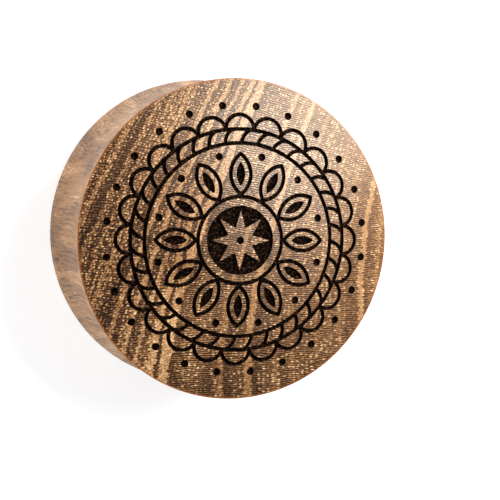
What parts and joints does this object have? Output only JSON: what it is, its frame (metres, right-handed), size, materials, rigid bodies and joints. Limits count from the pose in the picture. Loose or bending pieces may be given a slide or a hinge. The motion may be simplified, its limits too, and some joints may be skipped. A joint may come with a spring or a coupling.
{
  "type": "ear plug gauge",
  "caption": "Solid double flared wooden ear plug with a concave waist, a flat back, and a domed face that carries a burnt line ornament.",
  "frame": {"origin": "centre of the flat back, on the surface that the plug lies on", "axes": "+Z along the axis of the plug, out of its domed face; +Y towards the top of the design, +X to the right of the design seen from the front"},
  "size_m": [0.0334, 0.0334, 0.0165],
  "materials": {
    "wood": "oiled and buffed, with charred grooves"
  },
  "bodies": {
    "root": {"plug": "wood"}
  },
  "joints": []
}
